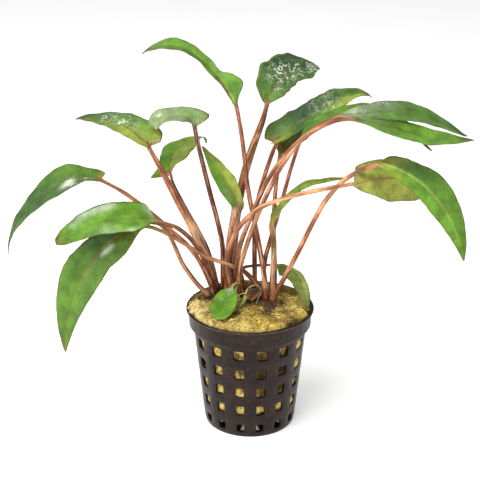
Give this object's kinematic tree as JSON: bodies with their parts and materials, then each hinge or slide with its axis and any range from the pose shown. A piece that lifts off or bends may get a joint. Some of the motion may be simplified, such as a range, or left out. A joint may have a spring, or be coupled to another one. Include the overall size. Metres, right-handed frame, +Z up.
{
  "type": "potted aquarium plant",
  "caption": "Rosette aquarium plant with long stalked, arching green leaves in a black slotted net pot packed with yellow rock wool.",
  "frame": {"origin": "middle of the flat underside of the pot", "axes": "+Z up along the pot's axis, -Y towards the front, +X to the right, along the leaves' widest spread"},
  "size_m": [0.1733, 0.0747, 0.1471],
  "materials": {
    "black_plastic": "satin moulded black plastic",
    "rock_wool": "matt felted mineral fibre, yellow",
    "rootstock": "rough brown plant tissue",
    "leaf_green": "satin green leaf with a red brown stalk",
    "young_green": "satin light green young leaf",
    "papery_brown": "matt dry leaf"
  },
  "bodies": {
    "root": {"net_pot": "black_plastic", "rock_wool": "rock_wool", "crown_left": "rootstock", "crown_centre": "rootstock", "crown_right": "rootstock", "crown_back": "rootstock", "leaf_far_left": "leaf_green", "leaf_mid_left": "leaf_green", "leaf_under_left": "leaf_green", "leaf_low_left": "leaf_green", "leaf_upper_left": "leaf_green", "leaf_inner_left": "leaf_green", "leaf_behind_left": "leaf_green", "leaf_young_centre": "young_green", "leaf_top_left": "leaf_green", "leaf_top_centre": "leaf_green", "leaf_back_right": "leaf_green", "leaf_hidden_right": "leaf_green", "leaf_rear_right": "leaf_green", "leaf_upper_right": "leaf_green", "leaf_mid_right": "leaf_green", "leaf_low_right": "leaf_green", "leaf_turned_right": "leaf_green", "leaf_young_right": "young_green", "leaf_small_front": "young_green", "leaf_draping_back": "leaf_green", "tiny_shoot": "young_green", "withered_leaf": "papery_brown"}
  },
  "joints": []
}
